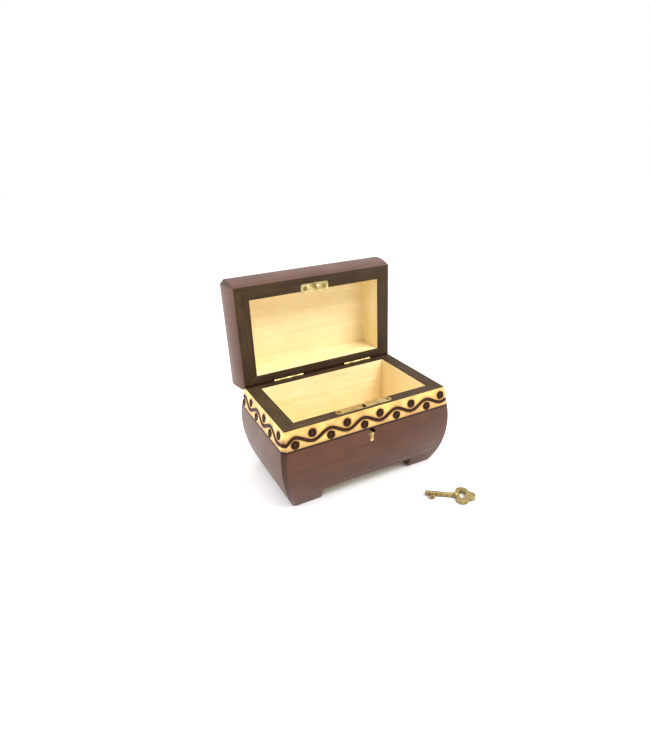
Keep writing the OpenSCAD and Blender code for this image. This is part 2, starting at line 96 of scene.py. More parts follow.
# The vine and its dots. Heights are fractions of the band's height, down from the rim.
VINE_MID = 0.55
VINE_SWING = 0.17
UPPER_DOT = 0.37
LOWER_DOT = 0.72
FRONT_START = -58.7 * MM                                # a lower dot on the front and back
SIDE_START = 34.5 * MM                                  # a lower dot on the left and right
VINE_CLEAR = 3.5 * MM                                   # the vine's last crest is this far from a corner
DOT_CLEAR = 3.0 * MM                                    # and a dot's middle this far
START_SWING = -0.55                                     # the vine's swing at a wall's two ends
END_SWING = -0.45
LONG_STEPS = 110                                        # points along the vine on a long wall
SHORT_STEPS = 64
VINE_STEP = 0.2 * MM                                    # nearest that two points of the vine may be
VINE_LAP = 0.3 * MM                                     # how far its line is drawn past a wall's end
DOT_RISE = 0.35 * MM                                    # how far the dots' cutter stands off the band
TAIL_RISE = 0.2 * MM                                    # and the tails' cutter
TAIL_ANGLE = math.radians(28)                           # up from the right, seen from outside
TAIL_REACH = 2.9 * MM                                   # from the dot's middle to the tail's
TAIL_LONG = 1.6 * MM
TAIL_THICK = 0.9 * MM
TAIL_THIN = 0.3 * MM

# The camera: its degrees round the case, up and rolled, and its place in widths of the rim.
CAMERA_AROUND, CAMERA_ABOVE, CAMERA_ROLL = -26.45, 24.83, -2.08
CAMERA_BACK, CAMERA_RIGHT, CAMERA_UP = 2.9459, -0.1051, 0.0702
CAMERA_LENS = 24.374                                    # in mm, on the sensor's width
SENSOR_WIDTH = 36
LAMP_AIM_Z = 50 * MM


def linear(code):
    """Linear colour, with alpha, of an sRGB hex code."""
    channels = [int(code[i:i + 2], 16) / 255 for i in (1, 3, 5)]
    return tuple(c / 12.92 if c <= 0.04045 else ((c + 0.055) / 1.055) ** 2.4 for c in channels) + (1.0,)


def length(name, description, default, soft_max=0.02):
    return FloatProperty(name=name, description=description, default=default, min=0, soft_max=soft_max,
                         unit="LENGTH", subtype="DISTANCE", precision=5)


def colour(name, description, code):
    return FloatVectorProperty(name=name, description=description, default=linear(code), size=4,
                               min=0, max=1, subtype="COLOR")


class CasketSizes(PropertyGroup):
    vine_width: length("Vine width", "Width of the carved vine line", 2.6 * MM)
    vine_depth: length("Vine depth", "Depth of the carved vine line", 0.6 * MM)
    wave: length("Wave", "Distance from one crest of the vine to the next", 26.4 * MM, 0.05)
    dot_ring: length("Dot ring", "Radius of the ring carved for each dot", 1.85 * MM)
    dot_cut: length("Dot cut", "Radius of the round cutter that carves the ring", 1.35 * MM)
    edge: length("Edge", "Rounding of the sanded edges", 0.45 * MM)
    metal_edge: length("Metal edge", "Rounding of the pressed plates' edges", 0.15 * MM)
    key_edge: length("Key edge", "Rounding of the cast key's edges", 0.5 * MM)
    floor: length("Floor", "Width of the floor", 6.0, 20)


class CasketColours(PropertyGroup):
    stain: colour("Stain", "Red-brown stain, where it is thin", "#5e3526")
    stain_deep: colour("Deep stain", "Red-brown stain, where it has soaked in", "#3d231a")
    walnut: colour("Walnut", "Dark stain on the rims", "#4c3a27")
    walnut_deep: colour("Deep walnut", "Dark stain in the rims' pores", "#2a2119")
    corner: colour("Corner", "Deep brown stain on the planed corners", "#2c1b14")
    arris: colour("Arris", "Stain worn thin along an edge", "#86624a")
    glare: colour("Lacquer glare", "Tint of the lacquer's glare over the red-brown stain", "#dab190")
    rim_glare: colour("Rim glare", "Tint of the thin lacquer's glare on the rims", "#ffe1bc")
    char_glare: colour("Charred glare", "Tint of the glare on charred wood", "#daaa89")
    linden: colour("Linden", "Bare sanded wood", "#fbf0c6")
    linden_deep: colour("Linden lines", "Late wood in the bare wood", "#ecd094")
    honey: colour("Honey", "Varnished bare wood of the band", "#f0ca72")
    scorch: colour("Scorch", "Wood browned by the burning iron", "#96612a")
    # Also painted as shade: black in the lid's gap, the lock's pocket and the keyhole's round top.
    burnt: colour("Burnt", "Wood charred by the burning iron, also painted black as shade", "#2b170c")
    brass: colour("Brass", "Dull brass plate", "#d0bc85")
    brass_deep: colour("Dark brass", "Tarnish on the brass plate", "#a58e58")
    link: colour("Link plate", "Bright brass plate of the lid", "#cdbd8b")
    link_deep: colour("Link tarnish", "Tarnish on the lid's plate", "#a08c58")
    antique: colour("Antique brass", "Cast brass of the key", "#ac9869")
    antique_deep: colour("Antique dark", "Dark patina in the key's hollows", "#6f5a30")
    steel: colour("Steel", "Drawn steel of the pins and the spring", "#a9a9ab")
    floor: colour("Floor", "Pale floor", "#f2f2f2")


# ---------------------------------------------------------------- materials

# Widths of the patterns. Linden's rings are 1 to 3 mm wide, as drawn. Its pores and the metals' wear
# marks are under 0.1 mm wide, which wouldn't show, so both are drawn coarser.
CLOUD = 16 * MM                                         # patches where the stain took unevenly
PORE = 0.35 * MM
WEAR = 0.25 * MM

MADE = {}                                               # filled by finishes()


def add(tree, kind, sockets=None, **settings):
    """Adds a node with its settings, and gives each named socket its value or its link."""
    node = tree.nodes.new("ShaderNode" + kind)
    for key, value in settings.items():
        setattr(node, key, value)
    for key, value in (sockets or {}).items():
        if isinstance(value, bpy.types.NodeSocket):
            tree.links.new(value, node.inputs[key])
        else:
            node.inputs[key].default_value = value
    return node


def blank(name):
    material = bpy.data.materials.new(name)
    material.use_nodes = True
    material.node_tree.nodes.clear()
    return material, material.node_tree


def place(tree, on_lid):
    """Object coordinates, centred on the case and with the lid shut."""
    matrix = CLOSED if on_lid else TO_CASE
    return add(tree, "Mapping", {"Vector": add(tree, "TexCoord").outputs["Object"],
                                 "Location": matrix.to_translation(),
                                 "Rotation": matrix.to_euler()}).outputs[0]


def finish(material, tree, base, rough, height, depth, **fixed):
    """Ends a material. Its roughness and bump come from nodes, and what is fixed goes on the sockets."""
    bump = add(tree, "Bump", {"Strength": 1.0, "Distance": depth, "Height": height})
    shader = add(tree, "BsdfPrincipled", {"Base Color": base, "Roughness": rough,
                                          "Normal": bump.outputs[0], **fixed})
    add(tree, "OutputMaterial", {"Surface": shader.outputs[0]})
    return material


def wood_grain(tree, where, along, width, wander=0.35):
    """Streaks as wide as width that run along one axis, from 0 to 1."""
    stretch = [1.0, 1.0, 1.0]
    stretch[along] = 0.045
    grain = add(tree, "Mapping", {"Vector": where, "Scale": stretch}).outputs[0]
    return add(tree, "TexNoise", {"Vector": grain, "Scale": 1 / width, "Detail": 5.0, "Roughness": 0.6,
                                  "Distortion": wander}).outputs[0]


def wood(name, light, deep, along, on_lid, streak, contrast, rough, depth, paint_gap_shade=False, **fixed):
    """Wood whose stain lies light or deep along the grain, with cloudy patches, pores and a sanded sheen.

    Optionally it is painted black beside the line that the lid turns on: painted shade in the gap.
    """
    material, tree = blank(name)
    where = place(tree, on_lid)
    grain = wood_grain(tree, where, along, streak)
    pores = wood_grain(tree, where, along, PORE, 0.0)
    cloud = add(tree, "TexNoise", {"Vector": where, "Scale": 1 / CLOUD, "Detail": 3.0}).outputs[0]
    soaked = add(tree, "MapRange", {"Value": grain, "From Min": 0.5 - contrast,
                                    "From Max": 0.5 + contrast}).outputs[0]
    patch = add(tree, "MapRange", {"Value": cloud, "From Min": 0.35, "From Max": 0.7, "To Min": 0.0,
                                   "To Max": 0.55}).outputs[0]
    specks = add(tree, "MapRange", {"Value": pores, "From Min": 0.56, "From Max": 0.72, "To Min": 0.0,
                                    "To Max": 0.35}).outputs[0]
    layers = [(soaked, deep), (patch, deep), (specks, deep)]
    # Painted shade: black along the gap where the open lid leans on the case.
    if paint_gap_shade:
        gap = PIN.y - CASE_Y
        back = add(tree, "SeparateXYZ", {0: where}).outputs[1]
        gap_shadow = add(tree, "MapRange", {"Value": back, "From Min": gap - 1.5 * MM,
                                      "From Max": gap - 1.1 * MM}).outputs[0]
        layers.append((gap_shadow, bpy.context.scene.casket_colours.burnt))
    base = light
    for share, over in layers:
        base = add(tree, "Mix", {0: share, 6: base, 7: over}, data_type="RGBA").outputs[2]
    shine = add(tree, "MapRange", {"Value": cloud, "To Min": rough - 0.07,
                                   "To Max": rough + 0.09}).outputs[0]
    return finish(material, tree, base, shine, pores, depth, **fixed)


def band_level(fraction):
    return RIM_Z - BAND_H * fraction


def vine_distance(tree, run, up, wave):
    """How far a place on the band is above or below the middle of the vine."""
    turns = add(tree, "Math", {0: run, 1: 2 * math.pi / wave}, operation="MULTIPLY").outputs[0]
    crest = add(tree, "Math", {0: turns}, operation="COSINE").outputs[0]
    vine = add(tree, "Math", {0: crest, 1: BAND_H * VINE_SWING, 2: band_level(VINE_MID)},
               operation="MULTIPLY_ADD").outputs[0]
    off = add(tree, "Math", {0: up, 1: vine}, operation="SUBTRACT").outputs[0]
    return add(tree, "Math", {0: off}, operation="ABSOLUTE").outputs[0]


def dot_distance(tree, run, up, wave):
    """How far a place on the band is from the middle of the nearest dot."""
    near = {}
    for row, (shift, fraction) in enumerate(((0.0, LOWER_DOT), (wave / 2, UPPER_DOT))):
        along = add(tree, "Math", {0: run, 1: shift}, operation="SUBTRACT").outputs[0]
        aside = add(tree, "Math", {0: along, 1: wave / 2, 2: -wave / 2}, operation="WRAP").outputs[0]
        above = add(tree, "Math", {0: up, 1: band_level(fraction)}, operation="SUBTRACT").outputs[0]
        wide = add(tree, "Math", {0: aside, 1: aside}, operation="MULTIPLY").outputs[0]
        high = add(tree, "Math", {0: above, 1: above}, operation="MULTIPLY").outputs[0]
        both = add(tree, "Math", {0: wide, 1: high}, operation="ADD").outputs[0]
        near[row] = add(tree, "Math", {0: both}, operation="SQRT").outputs[0]
    return add(tree, "Math", near, operation="MINIMUM").outputs[0]


def browning(tree, off_vine, off_dot, up, cloud):
    """Share of brown from the iron's heat: beside the vine, round the dots and along the band's foot."""
    by_vine = add(tree, "MapRange", {"Value": off_vine, "From Min": 1.2 * MM, "From Max": 3.3 * MM,
                                     "To Min": 1.0, "To Max": 0.0}).outputs[0]
    by_dot = add(tree, "MapRange", {"Value": off_dot, "From Min": 3.0 * MM, "From Max": 4.6 * MM,
                                    "To Min": 1.0, "To Max": 0.0}).outputs[0]
    heat = add(tree, "Math", {0: by_vine, 1: by_dot}, operation="MAXIMUM").outputs[0]
    uneven = add(tree, "MapRange", {"Value": cloud, "From Min": 0.3, "From Max": 0.7, "To Min": 0.45,
                                    "To Max": 1.0}).outputs[0]
    halo = add(tree, "Math", {0: heat, 1: uneven}, operation="MULTIPLY").outputs[0]
    foot = add(tree, "MapRange", {"Value": up, "From Min": BAND_LOW, "From Max": band_level(0.72),
                                  "To Min": 0.9, "To Max": 0.0}).outputs[0]
    return add(tree, "Math", {0: halo, 1: foot}, operation="MAXIMUM").outputs[0]


def charring(tree, off_dot, up):
    """Share of black: inside the dots, and in the burnt line along the band's lower edge."""
    dot = add(tree, "MapRange", {"Value": off_dot, "From Min": 2.8 * MM, "From Max": 3.1 * MM,
                                 "To Min": 1.0, "To Max": 0.0}).outputs[0]
    line = add(tree, "MapRange", {"Value": up, "From Min": BAND_LOW + 0.8 * MM,
                                  "From Max": BAND_LOW + 1.1 * MM, "To Min": 1.0, "To Max": 0.0}).outputs[0]
    return add(tree, "Math", {0: dot, 1: line}, operation="MAXIMUM").outputs[0]


def band_wood(name, along, start):
    """Varnished bare linden, browned round the burnt vine and black inside the burnt dots."""
    colours = bpy.context.scene.casket_colours
    wave = bpy.context.scene.casket_sizes.wave
    material, tree = blank(name)
    where = place(tree, False)
    parts = add(tree, "SeparateXYZ", {0: where}).outputs
    run = add(tree, "Math", {0: parts[along], 1: start}, operation="SUBTRACT").outputs[0]
    up = parts[2]
    off_vine = vine_distance(tree, run, up, wave)
    off_dot = dot_distance(tree, run, up, wave)
    cloud = add(tree, "TexNoise", {"Vector": where, "Scale": 1 / (5 * MM), "Detail": 3.0}).outputs[0]
    grain = wood_grain(tree, where, along, 1.1 * MM)
    varnish = add(tree, "TexNoise", {"Vector": where, "Scale": 1 / (11 * MM), "Detail": 2.0}).outputs[0]
    amber = add(tree, "MapRange", {"Value": varnish, "From Min": 0.4, "From Max": 0.66, "To Min": 0.05,
                                   "To Max": 0.55}).outputs[0]
    streaks = add(tree, "MapRange", {"Value": grain, "From Min": 0.4, "From Max": 0.75, "To Min": 0.0,
                                     "To Max": 0.3}).outputs[0]
    base = colours.honey
    for share, over in ((streaks, colours.scorch), (amber, colours.scorch),
                        (browning(tree, off_vine, off_dot, up, cloud), colours.scorch),
                        (charring(tree, off_dot, up), colours.burnt)):
        base = add(tree, "Mix", {0: share, 6: base, 7: over}, data_type="RGBA").outputs[2]
    shine = add(tree, "MapRange", {"Value": cloud, "To Min": 0.34, "To Max": 0.48}).outputs[0]
    varnished = {"IOR": 1.5, "Coat Weight": 0.2, "Coat Roughness": 0.25}
    return finish(material, tree, base, shine, grain, 0.03 * MM, **varnished)


def charred_wood_and_shade(name):
    """Wood charred by a hot iron and varnished over: near black, with a wet sheen on its ridges. Also
    painted shade, black in the lid's gap, the lock's pocket and the keyhole's round top.
    """
    colours = bpy.context.scene.casket_colours
    material, tree = blank(name)
    where = place(tree, False)
    crust = add(tree, "TexNoise", {"Vector": where, "Scale": 1 / (0.8 * MM), "Detail": 4.0}).outputs[0]
    tone = add(tree, "MapRange", {"Value": crust, "From Min": 0.52, "From Max": 0.8}).outputs[0]
    base = add(tree, "Mix", {0: tone, 6: colours.burnt, 7: colours.stain_deep},
               data_type="RGBA").outputs[2]
    shine = add(tree, "MapRange", {"Value": crust, "To Min": 0.42, "To Max": 0.6}).outputs[0]
    sheen = {"IOR": 1.4, "Specular Tint": colours.char_glare}
    return finish(material, tree, base, shine, crust, 0.08 * MM, **sheen)


def metal(name, bright, rough, depth, tarnish=None, spots=MM):
    """Metal with fine wear marks that blur what it mirrors, and tarnish in patches as wide as spots."""
    material, tree = blank(name)
    where = place(tree, False)
    wear = add(tree, "TexNoise", {"Vector": where, "Scale": 1 / WEAR, "Detail": 2.0}).outputs[0]
    base = bright
    if tarnish is not None:
        patch = add(tree, "TexNoise", {"Vector": where, "Scale": 1 / spots, "Detail": 5.0}).outputs[0]
        tone = add(tree, "MapRange", {"Value": patch, "From Min": 0.38, "From Max": 0.68}).outputs[0]
        base = add(tree, "Mix", {0: tone, 6: bright, 7: tarnish}, data_type="RGBA").outputs[2]
    shine = add(tree, "MapRange", {"Value": wear, "To Min": rough - 0.1, "To Max": rough + 0.15}).outputs[0]
    return finish(material, tree, base, shine, wear, depth, Metallic=1.0)


def make_board_finishes(side, on_lid, way, along):
    """Makes the finishes of the boards on the case or the lid whose grain runs one way."""
    colours = bpy.context.scene.casket_colours
    key = f"{side}_{way}"
    satin = {"IOR": 1.52, "Specular Tint": colours.glare, "Coat Weight": 0.16, "Coat Roughness": 0.35}
    dry = {"IOR": 1.35, "Specular Tint": colours.rim_glare}
    # Linden under red-brown spirit stain and satin lacquer: soft cloudy colour, a low wide glare.
    MADE["stain_" + key] = wood("Red-brown stained linden " + key, colours.stain, colours.stain_deep,
                                along, on_lid, streak=2.4 * MM, contrast=0.3, rough=0.42,
                                depth=0.02 * MM, **satin)
    # The rims' stain is darker and less red, and their lacquer is thin, so they look dry. Beside the lid's
    # gap they are painted black, as painted shade.
    MADE["rim_" + key] = wood("Walnut stained linden rim " + key, colours.walnut, colours.walnut_deep,
                              along, on_lid, streak=1.2 * MM, contrast=0.22, rough=0.66,
                              depth=0.03 * MM, paint_gap_shade=True, **dry)
    # The planed corners drink more stain than the flat grain does.
    MADE["corner_" + key] = wood("Deep stained corner " + key, colours.corner, colours.burnt,
                                 along, on_lid, streak=2.4 * MM, contrast=0.3, rough=0.45,
                                 depth=0.02 * MM, **satin)
    # Bare linden, sanded: pale, with faint late wood lines and no gloss.
    MADE["bare_" + key] = wood("Bare sanded linden " + key, colours.linden, colours.linden_deep,
                               along, on_lid, streak=2.2 * MM, contrast=0.3, rough=0.62,
                               depth=0.015 * MM, IOR=1.5)
    # Sanded edges, where the stain has rubbed thin.
    MADE["arris_" + key] = wood("Rubbed linden edge " + key, colours.arris, colours.stain_deep,
                                along, on_lid, streak=3.0 * MM, contrast=0.12, rough=0.45,
                                depth=0.02 * MM, **satin)


def make_metal_finishes():
    colours = bpy.context.scene.casket_colours
    # Thin plated brass sheet, gone dull: a soft yellow glare over broad dark patches.
    MADE["brass"] = metal("Dull plated brass sheet", colours.brass, rough=0.4, depth=0.01 * MM,
                          tarnish=colours.brass_deep, spots=6 * MM)
    # The lid's plate is less handled: paler, with a sharper shine.
    MADE["link"] = metal("Bright brass sheet", colours.link, rough=0.3, depth=0.01 * MM,
                         tarnish=colours.link_deep, spots=5 * MM)
    # Sand-cast brass with a patina: small brown patches, and a grainy skin that breaks up the shine.
    MADE["antique"] = metal("Cast antiqued brass", colours.antique, rough=0.36, depth=0.05 * MM,
                            tarnish=colours.antique_deep, spots=1.6 * MM)
    # Old brass screws: brown, with a blurred shine.
    MADE["screw"] = metal("Tarnished brass screw", colours.brass_deep, rough=0.45, depth=0.01 * MM,
                          tarnish=colours.antique_deep, spots=0.8 * MM)
    # Drawn steel wire and strip: an even grey shine.
    MADE["steel"] = metal("Drawn steel", colours.steel, rough=0.3, depth=0.01 * MM)


def finishes():
    """Every material, by the name that the pieces use. Made once."""
    if not MADE:
        for side, on_lid in (("case", False), ("lid", True)):
            for way, along in (("long", 0), ("cross", 1)):
                make_board_finishes(side, on_lid, way, along)
        MADE["band_long"] = band_wood("Varnished linden band, front and back", 0, FRONT_START)
        MADE["band_cross"] = band_wood("Varnished linden band, sides", 1, SIDE_START)
        MADE["burnt"] = charred_wood_and_shade("Charred linden and painted shade")
        make_metal_finishes()
    return MADE


# ---------------------------------------------------------------- modelling


def only(piece):
    bpy.ops.object.select_all(action="DESELECT")
    piece.select_set(True)
    bpy.context.view_layer.objects.active = piece


def clone(node, name):
    """A new piece that starts as a CAD node's shape, with its triangles joined and its flats whole."""
    piece = bpy.data.objects.new(name, frame["nodes"][node].data.copy())
    piece.data.name = name
    piece.data.materials.clear()
    bpy.context.scene.collection.objects.link(piece)
    only(piece)
    bpy.ops.object.mode_set(mode="EDIT")
    bpy.ops.mesh.select_all(action="SELECT")
    bpy.ops.mesh.remove_doubles(threshold=1e-6)
    bpy.ops.mesh.customdata_custom_splitnormals_clear()
    bpy.ops.mesh.dissolve_limited(angle_limit=math.radians(0.4))
    bpy.ops.object.mode_set(mode="OBJECT")
    return piece


def modify(piece, kind, **settings):
    only(piece)
    modifier = piece.modifiers.new(kind.title(), kind)
    for key, value in settings.items():
        setattr(modifier, key, value)
    bpy.ops.object.modifier_apply(modifier=modifier.name)


def soften(piece, width, matrix, keep_sharp=lambda middle: False, slot=-1):
    """Rounds the outward edges, apart from those that keep_sharp names by their middle."""
    mesh = bmesh.new()
    mesh.from_mesh(piece.data)
    weight = mesh.edges.layers.float.new("bevel_weight_edge")
    for edge in mesh.edges:
        middle = matrix @ ((edge.verts[0].co + edge.verts[1].co) / 2)
        if edge.is_manifold and edge.is_convex and edge.calc_face_angle() > math.radians(32):
            edge[weight] = 0.0 if keep_sharp(middle) else 1.0
    mesh.to_mesh(piece.data)
    mesh.free()
    modify(piece, "BEVEL", width=width, segments=3, limit_method="WEIGHT", material=slot,
           use_clamp_overlap=True, miter_outer="MITER_SHARP")


def smooth(piece, angle=30):
    only(piece)
    bpy.ops.object.shade_smooth_by_angle(angle=math.radians(angle))


def give(piece, *names):
    for name in names:
        piece.data.materials.append(finishes()[name])


def give_woods(piece, side, way):
    """Gives a board its finishes, in the order of the slot numbers."""
    key = f"{side}_{way}"
    give(piece, "stain_" + key, "rim_" + key, "bare_" + key, "band_" + way, "burnt", "arris_" + key,
         "corner_" + key)


def paint(piece, matrix, rule):
    """Gives each face the slot that rule names from its middle and its normal, with the lid shut."""
    turn = matrix.to_3x3()
    for face in piece.data.polygons:
        face.material_index = rule(matrix @ face.center, turn @ face.normal, face.material_index)


def settle(piece, body, node):
    """Says which body a piece rides on, and the CAD node that it replaces."""
    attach(piece, body)
    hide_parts(node)


# ---------------------------------------------------------------- which finish goes where

# The fifth slot is the charred finish: real on the carved vine, its dots and the scored line, and painted
# shade in the lid's gap, the lock's pocket and the keyhole's round top.
STAIN, RIM, BARE, BAND, BURNT_AND_SHADE, ARRIS, CORNER = range(7)

# How far a finish reaches from the plane or the line that it belongs to.
NEAR = 0.15 * MM                                        # a face this close to a plane lies on it
EDGE_REACH = 1.0 * MM                                   # rounded edges this close to a rim are the rim's
EDGE_WIDE = 0.8 * MM                                    # width of the rim's outer edge
RIM_REACH = 8.0 * MM                                    # the rims' sloping cuts end within this
SCORE_REACH = 0.5 * MM                                  # half the scored line under the band
SCORE_SHARP = 0.6 * MM                                  # edges this close to that line stay sharp
CEILING_SHARP = 0.3 * MM                                # and this close to the lid's ceiling
MITRE_HALF = 1.7 * MM                                   # half the width planed flush over a mitre
MITRE_DEEP = 4.0 * MM                                   # its faces lie no further in than this
MITRE_CLEAR = 1.5 * MM                                  # the flush planing stops this far from the rims
GAP_DEEP = 0.6 * MM                                     # painted black as shade round the line that the lid leans on, in depth
GAP_HIGH = 1.2 * MM                                     # and in height
POCKET_HALF = 24.0 * MM                                 # half the length of the lock's pocket
POCKET_TOP = 0.5 * MM                                   # it is painted black, as shade, from this far below the rim
POCKET_DEEP = 7.0 * MM                                  # from the compartment to the pocket's front
KEYHOLE_HALF = 3.0 * MM                                 # round the keyhole, sideways
KEYHOLE_HIGH = 8.0 * MM                                 # and up and down
SLOT_DROP = 1.8 * MM                                    # from the keyhole's round top to its slot

# Least parts of a normal along an axis, for a face to count as turned to it, facing it or square to it.
TURNED = 0.3
FACING = 0.6
SQUARE = 0.9
DEAD_FLAT = 0.99


def is_inside(middle):
    return abs(middle.x) < INNER_X + NEAR and abs(middle.y) < INNER_Y + NEAR


def is_corner(normal):
    return abs(normal.x) > TURNED and abs(normal.y) > TURNED


def at_mitre(middle):
    """On the outside of a mitre, which is planed flush."""
    off = abs(middle.x) - abs(middle.y) - (HALF_W - HALF_D)
    between_rims = RIM_Z - MITRE_CLEAR < middle.z < LID_RIM_Z + MITRE_CLEAR
    return abs(off) < MITRE_HALF and abs(middle.x) > HALF_W - MITRE_DEEP and not between_rims


def in_gap(middle):
    """Along the line where the open lid leans on the case, painted black as the gap's shade."""
    return abs(middle.y - (PIN.y - CASE_Y)) < GAP_DEEP and abs(middle.z - PIN.z) < GAP_HIGH


def in_lock(middle):
    """In the pocket cut for the lock, below the rim, which is painted black as shade."""
    return (abs(middle.x - KEYHOLE_X) < POCKET_HALF and middle.z < RIM_Z - POCKET_TOP
            and -INNER_Y - POCKET_DEEP < middle.y < -INNER_Y - NEAR)


def in_keyhole(middle):
    return (middle.y < -INNER_Y - POCKET_DEEP and abs(middle.x - KEYHOLE_X) < KEYHOLE_HALF
            and abs(middle.z - KEYHOLE_Z) < KEYHOLE_HIGH)


def case_stays_sharp(middle):
    return abs(middle.z - BAND_LOW) < SCORE_SHARP or at_mitre(middle)


def lid_stays_sharp(middle):
    return abs(middle.z - LID_TOP_Z) < CEILING_SHARP or at_mitre(middle)


def case_arris(middle, normal):
    """The finish of a rounded edge of a case wall."""
    if middle.z > RIM_Z - EDGE_REACH:
        at_edge = abs(middle.x) > HALF_W - EDGE_WIDE or abs(middle.y) > HALF_D - EDGE_WIDE
        return BAND if at_edge and normal.z < SQUARE else RIM
    if is_inside(middle):
        return BARE
    return BAND if middle.z > BAND_LOW else STAIN


def case_rule(middle, normal, was):
    """The finish of a face of a case wall. Where an edge has been rounded, was is ARRIS."""
    # Painted shade: the lock's pocket and the faces along the lid's gap are painted black.
    if in_lock(middle) or (in_gap(middle) and normal.z < DEAD_FLAT):
        return BURNT_AND_SHADE
    # Painted shade: the keyhole's round top is painted black; below it the slot keeps bare wood.
    if in_keyhole(middle) and abs(normal.y) < FACING and middle.z < BAND_LOW:
        return BARE if middle.z < KEYHOLE_Z - SLOT_DROP else BURNT_AND_SHADE
    if was == ARRIS:
        return case_arris(middle, normal)
    if is_inside(middle):
        return BARE
    if normal.z > FACING and middle.z > RIM_Z - RIM_REACH:
        return RIM
    if abs(middle.z - BAND_LOW) < SCORE_REACH:
        return BURNT_AND_SHADE
    if middle.z > BAND_LOW:
        return BAND
    return CORNER if is_corner(normal) else STAIN


def lid_rule(middle, normal, was):
    """The finish of a face of the lid, from its place with the lid shut."""
    # Painted shade: faces along the lid's gap are painted black.
    if in_gap(middle) and normal.z > -DEAD_FLAT:
        return BURNT_AND_SHADE
    in_hollow = is_inside(middle) and middle.z < LID_TOP_Z + NEAR
    if was == ARRIS:
        if middle.z < LID_RIM_Z + EDGE_REACH:
            return RIM
        return BARE if in_hollow else STAIN
    if in_hollow or (normal.z < -SQUARE and abs(middle.z - LID_TOP_Z) < NEAR):
        return BARE
    if normal.z < -FACING and middle.z < LID_RIM_Z + RIM_REACH:
        return RIM
    return CORNER if is_corner(normal) else STAIN


def foot_rule(middle, normal, was):
    """The finish of a face of a foot rail, whose rounded edges stay rubbed."""
    if was == ARRIS:
        return ARRIS
    return CORNER if is_corner(normal) else STAIN


# ---------------------------------------------------------------- the vine


def is_long(wall):
    """Walls 0 to 3 are front, right, back and left."""
    return wall % 2 == 0


def half_length(wall):
    return HALF_W if is_long(wall) else HALF_D


def half_waves(wall, wave, clear):
    """(place, whether it is a crest) of each half wave along a wall, clear of its ends.

    Twelve half waves each way from the first one reach past both ends of the longest wall.
    """
    first = FRONT_START if is_long(wall) else SIDE_START
    places = [(first + k * wave / 2, k % 2 == 0) for k in range(-12, 13)]
    return [(run, crest) for run, crest in places if abs(run) < half_length(wall) - clear]


def vine_level(run, stops):
    """How far the vine swings at a place along a wall, from stops of (place, swing from -1 to 1)."""
    for (a, low), (b, high) in zip(stops, stops[1:]):
        if run <= b:
            share = (1 - math.cos(math.pi * max(0.0, min(1.0, (run - a) / (b - a))))) / 2
            return low + (high - low) * share
    return stops[-1][1]


def wall_point(wall, run, fraction, out=0.0):
    """A point on the band, or out from it. run goes along +X or +Y from the wall's middle."""
    lean = BAND_OUT * fraction
    z = RIM_Z - BAND_H * fraction + out * math.sin(BAND_TILT)
    flat = out * math.cos(BAND_TILT)
    if is_long(wall):
        side = -1 if wall == 0 else 1
        return Vector((run, CASE_Y + side * (HALF_D + lean + flat), z))
    side = 1 if wall == 1 else -1
    return Vector((side * (HALF_W + lean + flat), CASE_Y + run, z))


def wall_turn(wall):
    """Rotation that takes +Z to the wall's outward normal and +X to the right, seen from outside."""
    lean = Matrix.Rotation(math.pi / 2 - BAND_TILT, 3, "X")
    return Matrix.Rotation(wall * math.pi / 2, 3, "Z") @ lean


def wall_stops(wall, wave):
    """Crests and dips of the vine along one wall, with where it starts and ends at the corners."""
    end = half_length(wall) + MM
    stops = [(run, 1 if crest else -1) for run, crest in half_waves(wall, wave, VINE_CLEAR)]
    return [(-end, START_SWING), *stops, (end, END_SWING)]


def vine_line(sizes):
    """The middle of the vine's cutter, once round the case."""
    points = []
    out = vine_radius(sizes) - sizes.vine_depth
    for wall in range(4):
        stops = wall_stops(wall, sizes.wave)
        steps = LONG_STEPS if is_long(wall) else SHORT_STEPS
        onward = 1 if wall in (0, 1) else -1
        for i in range(steps + 1):
            share = i / steps * 2 - 1
            run = onward * share * (half_length(wall) + VINE_LAP)
            fraction = VINE_MID - VINE_SWING * vine_level(run, stops)
            other = half_length(wall + 1) + BAND_OUT * fraction
            corner = (CORNER_D + CORNER_OUT * fraction) * math.sqrt(2) - other
            run = max(-corner, min(corner, run))
            points.append(wall_point(wall, run, fraction, out))
    kept = [points[0]]
    for point in points[1:]:
        if (point - kept[-1]).length > VINE_STEP:
            kept.append(point)
    return kept


def vine_radius(sizes):
    """Radius of the round cutter that leaves a line of the vine's width and depth."""
    half, deep = sizes.vine_width / 2, sizes.vine_depth
    return (half * half + deep * deep) / (2 * deep)


def vine_cutter(sizes):
    """A round rod that follows the vine, sunk in the band to the vine's depth."""
    bpy.ops.curve.primitive_bezier_circle_add(radius=MM)
    cutter = bpy.context.active_object
    cutter.name = "vine_cutter"
    curve = cutter.data
    curve.splines.clear()
    line = vine_line(sizes)
    spline = curve.splines.new("POLY")
    spline.points.add(len(line) - 1)
    for spot, point in zip(spline.points, line):
        spot.co = (*point, 1.0)
    spline.use_cyclic_u = True
    curve.dimensions = "3D"
    curve.fill_mode = "FULL"
    curve.bevel_depth = vine_radius(sizes)
    curve.bevel_resolution = 3
    only(cutter)
    bpy.ops.object.convert(target="MESH")
    return bpy.context.active_object


def dot_places(sizes):
    """(wall, run, fraction) of every burnt dot."""
    return [(wall, run, LOWER_DOT if crest else UPPER_DOT)
            for wall in range(4) for run, crest in half_waves(wall, sizes.wave, DOT_CLEAR)]


def dot_cutter(sizes):
    """A ring for each dot, which leaves a low round boss in its middle."""
    parts = []
    for wall, run, fraction in dot_places(sizes):
        bpy.ops.mesh.primitive_torus_add(
            major_radius=sizes.dot_ring, minor_radius=sizes.dot_cut, major_segments=23, minor_segments=9,
            location=wall_point(wall, run, fraction, DOT_RISE), rotation=wall_turn(wall).to_euler())
        parts.append(bpy.context.active_object)
    return joined(parts, "dot_cutter")


